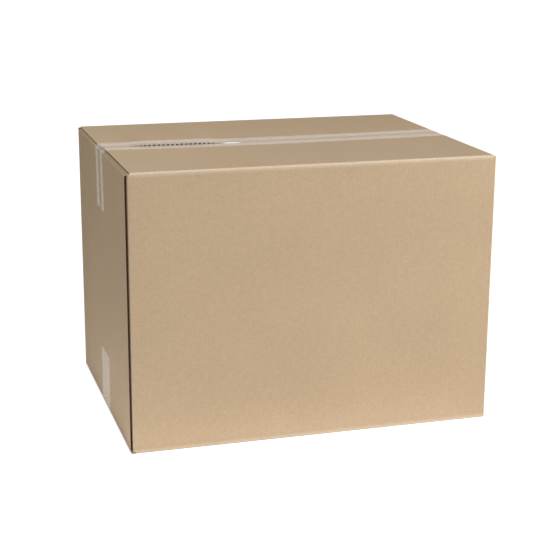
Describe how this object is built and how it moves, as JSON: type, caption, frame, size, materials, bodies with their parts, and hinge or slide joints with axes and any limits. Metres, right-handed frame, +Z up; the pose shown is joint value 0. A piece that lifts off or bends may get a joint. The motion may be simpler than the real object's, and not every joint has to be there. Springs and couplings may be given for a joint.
{
  "type": "cardboard box",
  "caption": "Closed rectangular shipping carton of corrugated board, with folded flaps, a glued corner joint and clear tape over its top and bottom seams.",
  "frame": {"origin": "middle of the base, at the underside of the tape that the carton stands on", "axes": "+X along the longest side, to the right of the front panel; +Y from the front panel to the back panel; +Z up"},
  "size_m": [0.6182, 0.465, 0.4582],
  "materials": {
    "corrugated_board": "matt brown kraft paper over corrugated board",
    "packing_tape": "clear film with a light gloss"
  },
  "bodies": {
    "root": {"carton": "corrugated_board", "top_tape": "packing_tape", "bottom_tape": "packing_tape"}
  },
  "joints": []
}
